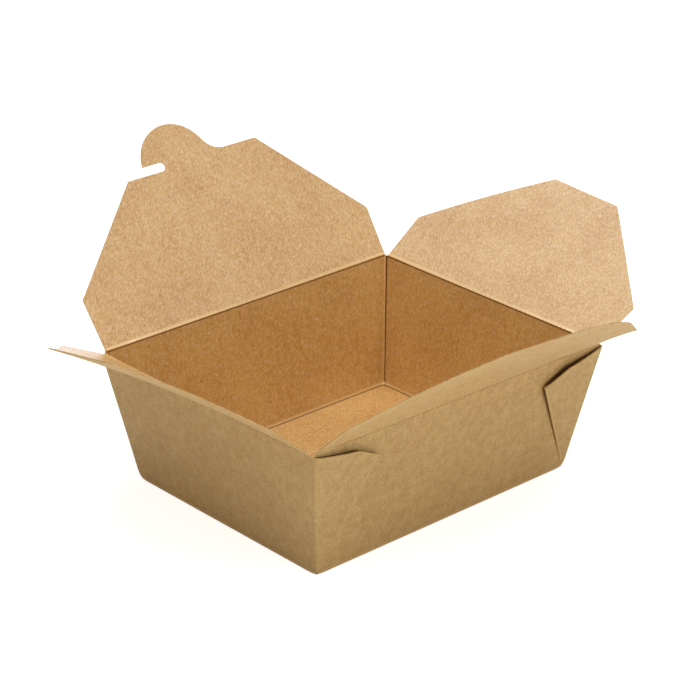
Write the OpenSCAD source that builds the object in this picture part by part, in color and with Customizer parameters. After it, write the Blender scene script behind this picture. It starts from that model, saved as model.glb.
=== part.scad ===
// Folded takeaway box of kraft board, in millimetres.
// One die-cut and creased sheet makes the tray, its four folded corner webs,
// two hook flaps that lock into each other and two end flaps that close under them.
// +Z is up, the origin is the centre of the base's underside, the hook walls run along X.

/* [Tray] */
// Length of the base between its creases, along the hook walls
base_l = 152.4; // [110:0.1:220]
// Width of the base between its creases
base_w = 120.65; // [90:0.05:180]
// Height of the rim creases above the table
box_h = 63.5; // [45:0.5:100]
// Outward lean of the two hook walls, in degrees
hook_lean = 9.3; // [4:0.1:14]
// Outward lean of the two end walls, in degrees
end_lean = 9.9; // [4:0.1:14]

/* [Board] */
// Thickness of the board
board = 0.45; // [0.3:0.05:0.65]
// How far a fold swells past the face of the board
fold_swell = 0.04; // [0.02:0.01:0.1]
// Radius of the bead that scoring raises along a flap's crease
bead_r = 0.5; // [0.4:0.02:0.7]
// Radius of the bead that scoring raises inside the base's creases
base_bead_r = 0.42; // [0.35:0.01:0.6]
// Running clearance between a flap's bead and the wall that carries it
crease_gap = 0.08; // [0.05:0.01:0.15]

/* [Corner webs] */
// How far a web's diagonal fold ends short of the rim corner
web_fold_drop = 6.2; // [3:0.1:15]
// How far the bend in a web's top edge ends short of the rim corner
web_bend_drop = 4.3; // [2:0.1:12]
// Angle of that bend from the corner edge, in degrees
web_bend_angle = 22; // [12:0.5:28]
// How far a web's top edge starts below the hook crease at the corner
corner_drop = 1.3; // [1.2:0.1:3]
// Gap left open between the hook wall and the top of a web's diagonal fold
web_spring = 1.1; // [0.3:0.1:3]
// Hairline between two layers of board at the top of a fold
layer_gap = 0.15; // [0.1:0.01:0.3]

/* [Hook flaps] */
// Depth from the crease to the side corners
hook_shoulder = 24.8; // [10:0.1:30]
// How far the side corners stand in from the rim's corners
hook_side_gap = 0.6; // [0.5:0.1:2]
// Half length of the outer edge, between the slanted corners
hook_edge_half = 39; // [34:0.5:44]
// How far the long half of the outer edge passes the middle of the box
hook_overlap = 3.3; // [2:0.1:6]
// Radius of the hook
hook_r = 20; // [15:0.5:22]
// Distance of the hook's centre from the middle of the flap
hook_offset = 8.9; // [5:0.1:12]
// Distance of the hook's centre past the middle of the box
hook_rise = 1.3; // [0:0.1:3]
// Radius of the hollow curve between the hook and the long edge
hook_hollow_r = 11.5; // [6:0.5:14]
// Width of the slot under the hook
slot_w = 4.3; // [3:0.1:5]
// Length of the slot, from its mouth to its round end
slot_l = 12.2; // [8:0.1:16]

/* [End flaps] */
// Depth from the crease to the side corners
end_shoulder = 25; // [10:0.1:28]
// How far the side corners stand in from the hook creases
end_side_gap = 1.1; // [0.9:0.1:3]
// Half length of the outer edge, between the slanted corners
end_edge_half = 19.3; // [12:0.1:26]
// Gap between the two end flaps when both are closed
end_flap_gap = 24.4; // [10:0.1:40]
// Height that lets a closed end flap lie clear under the hook flaps
nest_gap = 0.35; // [0.3:0.01:0.6]

/* [Opened flaps] */
// Rear hook flap's angle above level
rear_open = 54.5; // [0:0.5:80]
// Front hook flap's angle above level
front_open = 38.5; // [0:0.5:80]
// Left end flap's angle above level
left_open = 33; // [0:0.5:80]
// Right end flap's angle above level
right_open = 29.5; // [0:0.5:80]

/* [Hidden] */
outside_brown = [0.70, 0.56, 0.38];
inside_brown = [0.80, 0.64, 0.45];
round_fn = 32;
fold_fn = 10;
hollow_steps = 10;
hook_steps = 28;
hook_step = 4;
slot_steps = 10;

// Folds: the tray is drawn on the middle of the board, and each fold is a round bead
mid = board / 2;
fold_r = mid + fold_swell;
turn_r = mid + 2 * fold_swell;
pair_r = board + layer_gap / 2 + fold_swell;
layer_step = board + layer_gap;

// Heights of the creases: the end flaps turn lower than the hook flaps that close over them
crease_step = board + nest_gap;
hook_crease_z = box_h + crease_step / 2;
end_crease_z = box_h - crease_step / 2;
hook_slant = (hook_crease_z - mid) / cos(hook_lean);
end_slant = (end_crease_z - mid) / cos(end_lean);
hook_crease_y = base_w / 2 + hook_slant * sin(hook_lean);
end_crease_x = base_l / 2 + end_slant * sin(end_lean);
seat_r = bead_r + crease_gap;

// Corner edge in the plane of a hook wall: sideways run for each unit up the wall
corner_run = cos(hook_lean) * tan(end_lean);
corner_angle = atan(corner_run);
end_corner_run = cos(end_lean) * tan(hook_lean);
corner_len = hook_slant / cos(corner_angle);
corner_reach = corner_len - corner_drop / cos(corner_angle);
web_half_angle = (90 - corner_angle - atan(end_corner_run)) / 2;

// Lifts of a web's two layers off the hook wall, at the corner edge and at the diagonal fold
inner_lift_corner = layer_step;
outer_lift_corner = 2 * layer_step;
inner_lift_fold = board + web_spring;
outer_lift_fold = inner_lift_fold + layer_step;
wall_inset = mid + pair_r + layer_gap;

// Hinge lines stop short of the rim's corners, where four folds meet
hook_hinge_half = end_crease_x - 1.6;
hook_side_half = end_crease_x - hook_side_gap;
end_hinge_half = hook_crease_y - end_side_gap;
hinge_nick = 0.3;
hook_edge_v = hook_crease_y;
hook_long_edge_v = hook_crease_y + hook_overlap;
hook_centre_v = hook_crease_y + hook_rise;
end_depth = end_crease_x - end_flap_gap / 2;

// A straight rod between two points, which rounds a fold
module rod(from, to, radius) {
    run = to - from;
    length = norm(run);
    turn = atan2(run[1], run[0]);
    tip = acos(run[2] / length);
    translate(from)
        rotate([0, tip, turn])
            cylinder(h = length, r = radius, $fn = fold_fn);
}

// Board lying on the plane of its outline
module sheet() {
    linear_extrude(height = board, center = true)
        children();
}

// Stands a drawing up as a wall: x runs along the base, y up the wall, z outwards
module stand_front(half_base, lean) {
    translate([0, -half_base, mid])
        rotate([90 + lean, 0, 0])
            children();
}

// Round groove along the top of a wall, in which a flap's bead turns
module crease_seat(slant, hinge_half) {
    translate([0, slant, 0])
        rotate([0, 90, 0])
            cylinder(h = 2 * (hinge_half + hinge_nick), r = seat_r, center = true, $fn = round_fn);
}

// Hook wall: a trapezium whose slanted sides stop where the web folds back on them
module hook_wall() {
    nub_v = hook_slant - corner_drop;
    top_v = hook_slant - seat_r / 2;
    foot = base_l / 2;
    nub = foot + nub_v * corner_run - wall_inset;
    shelf = hook_hinge_half + hinge_nick;
    difference() {
        sheet()
            polygon([
                [-foot, 0], [foot, 0], [nub, nub_v], [shelf, top_v],
                [-shelf, top_v], [-nub, nub_v]
            ]);
        crease_seat(hook_slant, hook_hinge_half);
    }
}

// End wall: its sides lean out past the hook walls to carry the outer layers of the webs
module end_wall() {
    ear_v = (hook_crease_z - mid - corner_drop) / cos(end_lean);
    top_v = end_slant - seat_r / 2;
    foot = base_w / 2;
    stack = outer_lift_corner / cos(hook_lean);
    ear = foot + ear_v * end_corner_run + stack * ear_v / end_slant;
    shelf = end_hinge_half + hinge_nick;
    difference() {
        sheet()
            polygon([
                [-foot, 0], [foot, 0], [ear, min(ear_v, top_v)], [shelf, top_v],
                [-shelf, top_v], [-ear, min(ear_v, top_v)]
            ]);
        crease_seat(end_slant, end_hinge_half);
    }
}

// Points of a web on the hook wall, from the base corner: corner edge, bend and diagonal fold
function along(angle, reach) = [reach * sin(angle), reach * cos(angle)];
web_corner = along(-corner_angle, corner_reach);
web_bend = along(web_bend_angle - corner_angle, corner_len - web_bend_drop);
web_fold = along(web_half_angle - corner_angle, corner_len - web_fold_drop);

// One layer of a web, hinged at the base corner and lifted off the wall at two points
module web_layer(lift_corner, lift_fold, inset) {
    top = along(-corner_angle, corner_len);
    span = web_fold[0] * top[1] - top[0] * web_fold[1];
    rise_u = (lift_fold * top[1] - lift_corner * web_fold[1]) / span;
    rise_v = (lift_corner * web_fold[0] - lift_fold * top[0]) / span;
    rotate([atan(rise_v), -atan(rise_u), 0])
        sheet()
            polygon([[0, 0], web_corner + [inset, 0], web_bend, web_fold]);
}

// Web at the left end of a hook wall: two layers folded back on each other and on the wall
module web() {
    fold_lift = (inner_lift_fold + outer_lift_fold) / 2;
    corner_lift = inner_lift_corner / 2;
    translate([-base_l / 2, 0, 0]) {
        web_layer(inner_lift_corner, inner_lift_fold, wall_inset);
        web_layer(outer_lift_corner, outer_lift_fold, 0);
        rod([0, 0, 0], [web_fold[0], web_fold[1], fold_lift], pair_r);
        rod([mid, board, 0], [web_corner[0] + wall_inset, web_corner[1], corner_lift], turn_r);
        rod([0, 0, 0], [web_corner[0], web_corner[1], outer_lift_corner], fold_r);
    }
}

// Scored crease between the base and a wall: a rounded fold and a raised bead inside it
module base_crease(half_base, half_len) {
    lift = fold_r + fold_swell / 2;
    translate([0, -half_base, lift])
        rotate([0, 90, 0])
            cylinder(h = 2 * half_len, r = fold_r, center = true, $fn = round_fn);
    translate([0, mid - half_base, lift + mid])
        rotate([0, 90, 0])
            cylinder(h = 2 * (half_len - board), r = base_bead_r, center = true, $fn = round_fn);
}

// The folded sheet without its flaps
module tray() {
    color(outside_brown) {
        linear_extrude(height = board)
            square([base_l, base_w], center = true);
        for (turn = [0, 180])
            rotate([0, 0, turn]) {
                stand_front(base_w / 2, hook_lean) {
                    hook_wall();
                    web();
                    mirror([1, 0, 0])
                        web();
                }
                base_crease(base_w / 2, base_l / 2);
            }
        for (turn = [90, -90])
            rotate([0, 0, turn]) {
                stand_front(base_l / 2, end_lean)
                    end_wall();
                base_crease(base_l / 2, base_w / 2);
            }
    }
}

// Points along an arc, both ends included
function arc(centre, radius, from, to, steps) = [
    for (i = [0:steps])
        let (angle = from + (to - from) * i / steps)
        centre + radius * [cos(angle), sin(angle)]
];

// Outline of a hook flap: x along its crease, y away from it, hook to the left.
// It runs up the right side, along the long edge, round the hollow, the hook and the slot.
module hook_outline() {
    hook = [-hook_offset, hook_centre_v];
    hollow_v = hook_long_edge_v + hook_hollow_r;
    meet = asin((hollow_v - hook_centre_v) / (hook_r + hook_hollow_r));
    hollow = [hook[0] + (hook_r + hook_hollow_r) * cos(meet), hollow_v];
    slot_top = hook_edge_v + slot_w;
    mouth = 180 - asin((slot_top - hook_centre_v) / hook_r);
    slot_end = hook[0] + hook_r * cos(mouth) + slot_l - slot_w / 2;
    polygon(concat(
        [
            [hook_hinge_half, 0],
            [hook_side_half, hook_shoulder],
            [hook_edge_half, hook_long_edge_v]
        ],
        arc(hollow, hook_hollow_r, 270, 180 + meet, hollow_steps),
        arc(hook, hook_r, meet + hook_step, mouth, hook_steps),
        arc([slot_end, slot_top - slot_w / 2], slot_w / 2, 90, -90, slot_steps),
        [
            [-hook_edge_half, hook_edge_v],
            [-hook_side_half, hook_shoulder],
            [-hook_hinge_half, 0]
        ]
    ));
}

// Outline of an end flap: x along its crease, y away from it
module end_outline() {
    side = end_hinge_half;
    polygon([
        [-side, 0], [side, 0], [side, end_shoulder],
        [end_edge_half, end_depth], [-end_edge_half, end_depth], [-side, end_shoulder]
    ]);
}

// A flap on its crease: the outline's board and the bead that turns in the wall's groove
module flap(crease_y, crease_z, angle, hinge_half) {
    translate([0, crease_y, crease_z])
        rotate([angle, 0, 0]) {
            sheet()
                children();
            rotate([0, 90, 0])
                cylinder(h = 2 * hinge_half, r = bead_r, center = true, $fn = round_fn);
        }
}

module hook_flap_rear() {
    color(inside_brown)
        flap(hook_crease_y, hook_crease_z, rear_open, hook_hinge_half)
            hook_outline();
}

module hook_flap_front() {
    color(inside_brown)
        rotate([0, 0, 180])
            flap(hook_crease_y, hook_crease_z, front_open, hook_hinge_half)
                hook_outline();
}

module end_flap_left() {
    color(inside_brown)
        rotate([0, 0, 90])
            flap(end_crease_x, end_crease_z, left_open, end_hinge_half)
                end_outline();
}

module end_flap_right() {
    color(inside_brown)
        rotate([0, 0, -90])
            flap(end_crease_x, end_crease_z, right_open, end_hinge_half)
                end_outline();
}

tray();
hook_flap_rear();
hook_flap_front();
end_flap_left();
end_flap_right();
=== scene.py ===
"""Looks of a folded takeaway box in kraft board: its tray, corner webs, hook flaps and end flaps."""

import math
from types import SimpleNamespace

import bpy
import numpy as np
from bpy.props import FloatProperty, FloatVectorProperty, PointerProperty
from bpy.types import Operator, Panel, PropertyGroup
from mathutils import Matrix
from mathutils.geometry import delaunay_2d_cdt


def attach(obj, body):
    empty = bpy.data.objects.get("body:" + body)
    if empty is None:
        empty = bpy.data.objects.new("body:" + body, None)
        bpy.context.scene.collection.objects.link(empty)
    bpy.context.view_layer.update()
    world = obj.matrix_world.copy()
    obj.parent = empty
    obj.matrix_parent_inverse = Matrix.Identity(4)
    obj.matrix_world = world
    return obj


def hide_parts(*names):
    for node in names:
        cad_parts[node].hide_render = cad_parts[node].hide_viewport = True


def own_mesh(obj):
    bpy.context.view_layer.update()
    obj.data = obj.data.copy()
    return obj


bl_info = {
    "name": "Takeaway box",
    "version": (1, 0, 0),
    "blender": (4, 5, 0),
    "location": "3D View > Sidebar > Takeaway box",
    "description": "Builds the board surfaces of a folded takeaway box on its CAD frame",
    "category": "Add Mesh",
}

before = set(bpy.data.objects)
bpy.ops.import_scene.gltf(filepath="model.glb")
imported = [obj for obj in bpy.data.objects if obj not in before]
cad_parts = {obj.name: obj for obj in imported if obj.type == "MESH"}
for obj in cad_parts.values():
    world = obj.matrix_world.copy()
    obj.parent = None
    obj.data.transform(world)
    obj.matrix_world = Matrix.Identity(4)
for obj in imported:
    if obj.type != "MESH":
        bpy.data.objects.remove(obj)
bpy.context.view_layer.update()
MM = 0.001

# Lengths without another unit are in millimetres.
# Spacing of a panel's grid, and the closer places beside each of its folds
GRID_STEP = 2.8
NEAR_FOLD = (0.35, 0.8, 1.6)
# Steps round a fold, a half circle, a flap's rounded corner, the hook, and its hollow or slot
FOLD_STEPS = 7
CURL_STEPS = 9
EASE_STEPS = 5
HOOK_STEPS = 34
SLOT_STEPS = 12
# Length of board on each side of a fold that its bend takes up, and its share of the height near the foot
FOLD_TANGENT = 0.45
CORNER_TAKE = 0.03
# Width of the strip of base that an end wall carries inside its crease
FOOT_STRIP = 1.5
# Width of the ridge that scoring raises, and radius of a wall's curled edge where it is flat
RIDGE_WIDTH = 0.5
SMALLEST_CURL = 0.004
# Middle and half width of the marks painted along the folds, measured across a crease towards the wall above
# it
# Pale band: partly paler scored board and partly a painted highlight on the crease's bead
PALE_BAND = (1.0, 0.62)
# Painted shade: in the groove beside a crease, along the rim crease and down an end wall's sides
DARK_BAND = (-0.4, 0.75)
RIM_BAND = (0.65, 0.45)
# Pale bands too, partly scored board and partly painted highlight: corner fold, flap bead, web diagonal
CORNER_BAND = (0.45, 0.7)
BEAD_BAND = (0.3, 0.85)
DIAGONAL_BAND = (0.0, 0.75)
UNMARKED = 9.0
# Value of "dark" on a web's outer layer, whose inner face is painted in shade and whose cut edge stays pale
SHADED = 0.6
# Gap between a wall's top edge and the axis of the crease above it, and the edge's run past the flap's hinge
WALL_TOP_GAP = 0.42
HINGE_SHELF = 0.3
# How far short of the rim's corners the flaps' hinges end, and the hook flaps' sides
HOOK_HINGE_SHORT = 1.6
HOOK_SIDE_SHORT = 0.6
END_HINGE_SHORT = 1.1
# Shares of a web's rays at which its points lie, and the numbers of rays of its outer and inner layer
WEB_SHARES = np.concatenate([[0.012, 0.03], np.linspace(0.06, 0.97, 26), [0.982, 0.992, 1.0]])
WEB_RAYS = 14
WEB_BACK_RAYS = 10
# How far the wall is painted in a web's shadow past the two parts of its top edge and past its diagonal
WEB_SHADE = (-0.3, -0.3, 0.5)
# How far a web's outer layer bows out at the middle of its top edge, and its inner layer falls short of it
WEB_BOW = 1.2
WEB_SHORT = 1.3
# Height over which the rounding of a base corner fades, as a share of its radius
FOOT_FADE = 0.3
# Lengths that the rounding of a flap's corners takes up
SHOULDER_EASE = 0.9
EDGE_EASE = 0.8
TIP_EASE = 0.35
# Heights at which a flap's bead is drawn, in its radii, and the least square of its half thickness
BEAD_LEVELS = (-1, -0.93, -0.7, -0.35, 0, 0.35, 0.7, 0.93, 1.3, 2.2)
BEAD_LEAST = 0.003
# Start of a flap's lattice above the bead, and the rise of its rows and gap to the edge in grid steps
LATTICE_START = 1.6
LATTICE_RISE = 0.87
EDGE_CLEAR = 0.4
# Where the hook starts, as a share of the flap's depth, and where its tip starts and how wide it is, in half
# widths
HOOK_FROM = 0.78
TIP_FROM = 0.1
TIP_RUN = 0.16
INSIDE_FACE, OUTSIDE_FACE, CUT_FACE = 0, 1, 2
MARKS = ("pale", "dark", "shut", "cut")
# Directions in degrees and relative sizes of the fibres that make the streaks and the flecks
STREAK_FIBRES = ((36, 1.0), (14, 0.8), (60, 0.9), (-38, 0.9))
FLECK_FIBRES = ((38, 1.4), (64, 1.2))
# Shift of a layer of fibres along the sheet and across it, for each degree of its angle and unit of its size
FIBRE_SHIFT = (0.001, 0.002)
# Size of the broad patches in clouds, and the cells in a metre of sheet, few of which hold a speck
PATCH_SIZE = 7.0
SPECK_CELLS = 95.0
# How far a mottled colour goes down and up, in shares of its mottle
DEEP_SHARE = 0.85
PALE_SHARE = 1.1
# Colours laid over the board: what they are multiplied by or turned towards, and how far
FLECK_COLOUR = (1.0, 0.95, 0.88)
FLECK_SHARE = 0.8
SPECK_SHARE = 0.75
# How far the pale bands turn to their colour: partly scored board and partly painted highlight
SCORED_HIGHLIGHT_SHARE = 0.55
# Tint of the painted shade in creases, in corners and between a web's layers
PAINTED_SHADE_TINT = (0.5, 0.4, 0.22)
# Tint of the painted shadow that a web casts on the wall beside it
WEB_SHADOW_TINT = (0.34, 0.27, 0.16)
# Share of the glaze that the dark fibres keep, and the glaze's own roughness and refractive index
THIN_GLAZE = 0.6
COAT_ROUGHNESS = 0.28
COAT_IOR = 2.0
# Values of the noises, from 0 to 1, between which a mask or a colour rises
CLOUD_SPAN = (0.2, 0.8)
STREAK_SPAN = (0.36, 0.64)
MIDDLE_SPAN = (0.25, 0.75)
WORN_SPAN = (0.35, 0.65)
EDGE_SPAN = (0.3, 0.7)
FLECK_SPAN = (0.64, 0.73)
# The random value from which a cell has a speck, and the speck's edge as a distance from the cell's heart
SPECK_CHANCE = (0.86, 0.90)
SPECK_HEART = (0.018, 0.032)
# Values of the marks between which their colour fades, and the least share of a worn edge
PALE_FADE = (0.75, 1.15)
DARK_FADE = (0.75, 1.25)
WEB_SHADOW_FADE = (-0.9, 0.15)
CUT_FADE = (0.1, 0.5)
EDGE_FADE = (0.1, 0.4)
GLAZE_FADE = (0.0, 0.6)
WORN_LEAST = 0.4
# How far the roughness varies each way, and the shares of the streaks and the clouds in the relief
ROUGH_SPREAD = 0.05
STREAK_HEIGHT = 0.8
CLOUD_HEIGHT = 0.6
# The cut edge's length and width of fibres and size of clouds in metres, tints, roughness and relief
EDGE_FIBRES = (0.001, 0.0004, 0.003)
EDGE_DEEP = 0.86
EDGE_PALE = 1.06
# Share of its colour that a cut edge keeps where it is painted in shade
EDGE_IN_SHADE = 0.35
EDGE_ROUGHNESS = (0.82, 0.95)
EDGE_RELIEF = 0.4
# Depth of the fibres' relief, half width of the floor and the point that the lights face, in metres
RELIEF_DEPTH = 0.0001
FLOOR_HALF = 12.0
LIGHT_TARGET = (0, 0, 0.05)
# Reflectance of the floor, and the glow that takes it to white in the picture
FLOOR_GREY = 0.86
FLOOR_GLOW = 0.8
# Width of the camera's frame
FRAME_WIDTH = 36
# Angle in degrees from which an edge is shaded sharp, and the least value under the root of a rounded foot
SHARP_ANGLE = 38
FOOT_LEAST = 0.25
# Length or area below which a line has no direction
TINY = 1e-12
# A direction that none of the lights lies in
ASIDE = (0, 1, 0.01)
BEND_WORDS = (
    "Angles that it gains: all over, towards one side, towards both sides, towards its outer edge and "
    "towards the hook's tip"
)


def length_prop(name, metres, description):
    """A length that a user can change."""
    return FloatProperty(name=name, description=description, default=metres, unit="LENGTH")


def angle_prop(name, degrees, description):
    """An angle that a user can change."""
    turn = math.radians(degrees)
    return FloatProperty(name=name, description=description, default=turn, subtype="ANGLE")


def bend_prop(name, degrees):
    """The five angles by which a flap is bent."""
    turns = tuple(math.radians(value) for value in degrees)
    return FloatVectorProperty(name=name, description=BEND_WORDS, size=5, unit="ROTATION", default=turns)


def colour_prop(name, values, description):
    """An sRGB colour that a user can change."""
    return FloatVectorProperty(
        name=name, description=description, subtype="COLOR_GAMMA", size=3, min=0, max=1, default=values
    )


def share_prop(name, value, description):
    """A value from 0 to 1 that a user can change."""
    return FloatProperty(name=name, description=description, default=value, min=0, max=1)


def power_prop(name, watts, description):
    """The power of a light that a user can change."""
    return FloatProperty(name=name, description=description, default=watts, unit="POWER")


class BoxSizes(PropertyGroup):
    """Sizes of the folded tray."""

    base_length: length_prop(
        "Base length", 0.1524, "Length of the base between its creases, along the hook walls"
    )
    base_width: length_prop("Base width", 0.12065, "Width of the base between its creases")
    rim_height: length_prop("Rim height", 0.0635, "Height of the rim creases above the table")
    hook_lean: angle_prop("Hook wall lean", 9.3, "Outward lean of the two hook walls")
    end_lean: angle_prop("End wall lean", 9.9, "Outward lean of the two end walls")
    board: length_prop("Board thickness", 0.00045, "Thickness of the board")
    crease_bead: length_prop(
        "Crease bead radius", 0.0005, "Radius of the bead that scoring raises along a flap's crease"
    )
    base_bead: length_prop(
        "Base bead height", 0.0003, "Height of the ridge that scoring raises inside the base's creases"
    )
    nest_gap: length_prop(
        "Nesting gap", 0.00035, "Height that lets a closed end flap lie clear under the hook flaps"
    )
    layer_gap: length_prop("Layer gap", 0.00015, "Hairline between two layers of board at the top of a fold")
    corner_drop: length_prop(
        "Corner drop", 0.0013, "How far a web's top edge starts below the hook crease at the corner"
    )
    web_bend_drop: length_prop(
        "Web bend drop", 0.0043, "How far the bend in a web's top edge ends short of the rim corner"
    )
    web_bend_angle: angle_prop("Web bend angle", 22, "Angle of that bend from the corner edge")
    web_fold_drop: length_prop(
        "Web fold drop", 0.0062, "How far a web's diagonal fold ends short of the rim corner"
    )
    web_spring: length_prop(
        "Web spring", 0.0009, "Gap left open between the hook wall and the top of a web's diagonal fold"
    )
    web_slack: length_prop("Web slack", 0.0016, "That gap at the two webs that lie less flat")
    rim_rack: length_prop(
        "Rim rack", 0.0007, "How far the rim's corners stand off level, two of them up and two down"
    )
    corner_round: length_prop(
        "Foot corner radius", 0.004, "Radius to which the folded board rounds off the base's corners"
    )


class FlapShapes(PropertyGroup):
    """Outlines of the flaps, and how each one stands open."""

    hook_shoulder: length_prop(
        "Hook flap shoulder", 0.0248, "Depth of a hook flap's side corners from its crease"
    )
    hook_edge_half: length_prop("Hook flap half edge", 0.039, "Half length of a hook flap's outer edge")
    hook_overlap: length_prop(
        "Long edge overlap", 0.0033, "How far the long half of the outer edge passes the middle of the box"
    )
    hook_radius: length_prop("Hook radius", 0.02, "Radius of the round hook")
    hook_offset: length_prop(
        "Hook offset", 0.0089, "Distance of the hook's centre from the middle of the flap"
    )
    hook_rise: length_prop("Hook rise", 0.0013, "Distance of the hook's centre past the middle of the box")
    hollow_radius: length_prop(
        "Hollow radius", 0.0115, "Radius of the hollow curve between the hook and the long edge"
    )
    slot_width: length_prop("Slot width", 0.0043, "Width of the slot under the hook")
    slot_length: length_prop("Slot length", 0.0122, "Length of the slot from its mouth to its round end")
    end_shoulder: length_prop(
        "End flap shoulder", 0.025, "Depth of an end flap's side corners from its crease"
    )
    end_edge_half: length_prop("End flap half edge", 0.0193, "Half length of an end flap's outer edge")
    end_gap: length_prop("End flap gap", 0.0244, "Gap between the two end flaps when both are closed")
    rear_angle: angle_prop("Rear flap angle", 54.5, "Rear hook flap's angle above level")
    front_angle: angle_prop("Front flap angle", 38.5, "Front hook flap's angle above level")
    left_angle: angle_prop("Left flap angle", 33, "Left end flap's angle above level")
    right_angle: angle_prop("Right flap angle", 29.5, "Right end flap's angle above level")
    rear_bend: bend_prop("Rear flap bend", (0.0, 0.0, 0.0, 0.0, 0.0))
    front_bend: bend_prop("Front flap bend", (6.8, 5.5, -5.6, -7.7, -0.9))
    left_bend: bend_prop("Left flap bend", (0.4, -7.7, 0.2, -0.4, 0.0))
    right_bend: bend_prop("Right flap bend", (-0.2, -5.5, 1.2, -0.3, 0.0))


class BoardFinish(PropertyGroup):
    """Colours and grain of the kraft board."""

    inside_colour: colour_prop("Inside colour", (0.778, 0.578, 0.272), "Colour of the smooth inner face")
    outside_colour: colour_prop("Outside colour", (0.852, 0.688, 0.425), "Colour of the matte outer face")
    edge_colour: colour_prop("Cut edge colour", (0.86, 0.71, 0.48), "Colour of the die-cut edges")
    # Partly the paler colour of scored board and partly a painted highlight on the folds
    scored_and_highlight_colour: colour_prop(
        "Scored and highlight colour", (1.0, 0.87, 0.62), "Colour towards which scoring pales the board"
    )
    speck_colour: colour_prop("Speck colour", (0.32, 0.21, 0.11), "Colour of the dark specks in the pulp")
    streak_length: length_prop("Fibre length", 0.0019, "Length of the fine streaks in the pulp")
    streak_width: length_prop("Fibre width", 0.00042, "Width of the fine streaks in the pulp")
    cloud_size: length_prop("Cloud size", 0.0045, "Size of the cloudy patches in the pulp")
    inside_roughness: share_prop("Inside roughness", 0.50, "Roughness of the smooth inner face")
    inside_coat: share_prop("Inside glaze", 1.0, "Strength of the thin glaze on the inner face")
    outside_roughness: share_prop("Outside roughness", 0.72, "Roughness of the matte outer face")


class StudioSettings(PropertyGroup):
    """Camera and light of the plain studio."""

    camera_place: FloatVectorProperty(
        name="Camera place",
        description="Place of the camera",
        subtype="TRANSLATION",
        size=3,
        default=(-0.64142, -0.69664, 0.48545),
    )
    camera_azimuth: angle_prop(
        "Camera azimuth", -42.543, "Turn of the view about the vertical, from looking along +Y"
    )
    camera_elevation: angle_prop("Camera elevation", 24.106, "Downward tilt of the view")
    camera_roll: angle_prop("Camera roll", 0.301, "Turn of the camera about its line of sight")
    lens: FloatProperty(
        name="Lens",
        description="Focal length on a 36 mm wide frame, in millimetres",
        default=118.60,
    )
    sky_level: FloatProperty(
        name="Ambient level",
        description="Brightness of the surroundings as a light",
        default=0.06,
    )
    top_power: power_prop("Top light", 25.0, "Power of the large light overhead")
    front_power: power_prop("Front light", 7.6, "Power of the soft light before the front wall")
    left_power: power_prop("Left light", 3.2, "Power of the soft light beside the left wall")
    rear_power: power_prop("Rear light", 1.5, "Power of the soft light above and behind the box")


def measures(context):
    """The box in millimetres and radians, with the lines that follow from its sizes."""
    s = context.scene.takeaway_sizes
    m = SimpleNamespace()
    m.half_l = s.base_length / MM / 2
    m.half_w = s.base_width / MM / 2
    m.hook_lean = s.hook_lean
    m.end_lean = s.end_lean
    m.board = s.board / MM
    m.mid = m.board / 2
    m.bead = s.crease_bead / MM
    m.base_bead = s.base_bead / MM
    # The end creases turn lower than the hook creases, so that closed flaps nest
    step = m.board + s.nest_gap / MM
    m.hook_z = s.rim_height / MM + step / 2
    m.end_z = s.rim_height / MM - step / 2
    m.hook_slant = (m.hook_z - m.mid) / math.cos(m.hook_lean)
    m.end_slant = (m.end_z - m.mid) / math.cos(m.end_lean)
    m.hook_y = m.half_w + m.hook_slant * math.sin(m.hook_lean)
    m.end_x = m.half_l + m.end_slant * math.sin(m.end_lean)
    # Sideways run of a corner edge for each unit up a wall
    m.hook_run = math.cos(m.hook_lean) * math.tan(m.end_lean)
    m.end_run = math.cos(m.end_lean) * math.tan(m.hook_lean)
    m.edge_angle = math.atan(m.hook_run)
    m.web_angle = (math.pi / 2 - m.edge_angle - math.atan(m.end_run)) / 2
    m.corner_len = m.hook_slant / math.cos(m.edge_angle)
    m.corner_drop = s.corner_drop / MM
    m.corner_reach = m.corner_len - m.corner_drop / math.cos(m.edge_angle)
    m.bend_angle = s.web_bend_angle
    m.bend_reach = m.corner_len - s.web_bend_drop / MM
    m.fold_reach = m.corner_len - s.web_fold_drop / MM
    m.layer = m.board + s.layer_gap / MM
    m.web_springs = (s.web_spring / MM, s.web_slack / MM)
    m.wall_inset = 2 * m.board + s.layer_gap / MM
    m.hook_hinge_half = m.end_x - HOOK_HINGE_SHORT
    m.hook_side_half = m.end_x - HOOK_SIDE_SHORT
    m.end_hinge_half = m.hook_y - END_HINGE_SHORT
    m.rack = s.rim_rack / MM
    m.corner_round = s.corner_round / MM
    return m


def unit(vectors):
    """Vectors scaled to length one."""
    length = np.linalg.norm(vectors, axis=-1, keepdims=True)
    return vectors / np.maximum(length, TINY)


def stations(start, stop):
    """Places from start to stop, about a grid step apart and closer together beside both ends."""
    near = np.array(NEAR_FOLD)
    inner = np.linspace(start + near[-1], stop - near[-1], max(3, round((stop - start) / GRID_STEP)))
    return np.concatenate([[start], start + near[:-1], inner, stop - near[-2::-1], [stop]])


def half_stations(stop):
    """Places from a middle line, itself left out, to stop, closer together beside stop alone."""
    return stations(0, stop)[len(NEAR_FOLD) :]


def side_shares(half):
    """Places from side to side as shares of a half width, with one in the middle."""
    side = half_stations(half) / half
    return np.concatenate([-side[::-1], [0], side])


def slope_heights(top, column_tops):
    """Heights up a slope from its fold, row by row, scaled so that every column ends at its own top."""
    share = stations(0, top - FOLD_TANGENT) / (top - FOLD_TANGENT)
    return FOLD_TANGENT + share[:, None] * (column_tops - FOLD_TANGENT)


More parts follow.
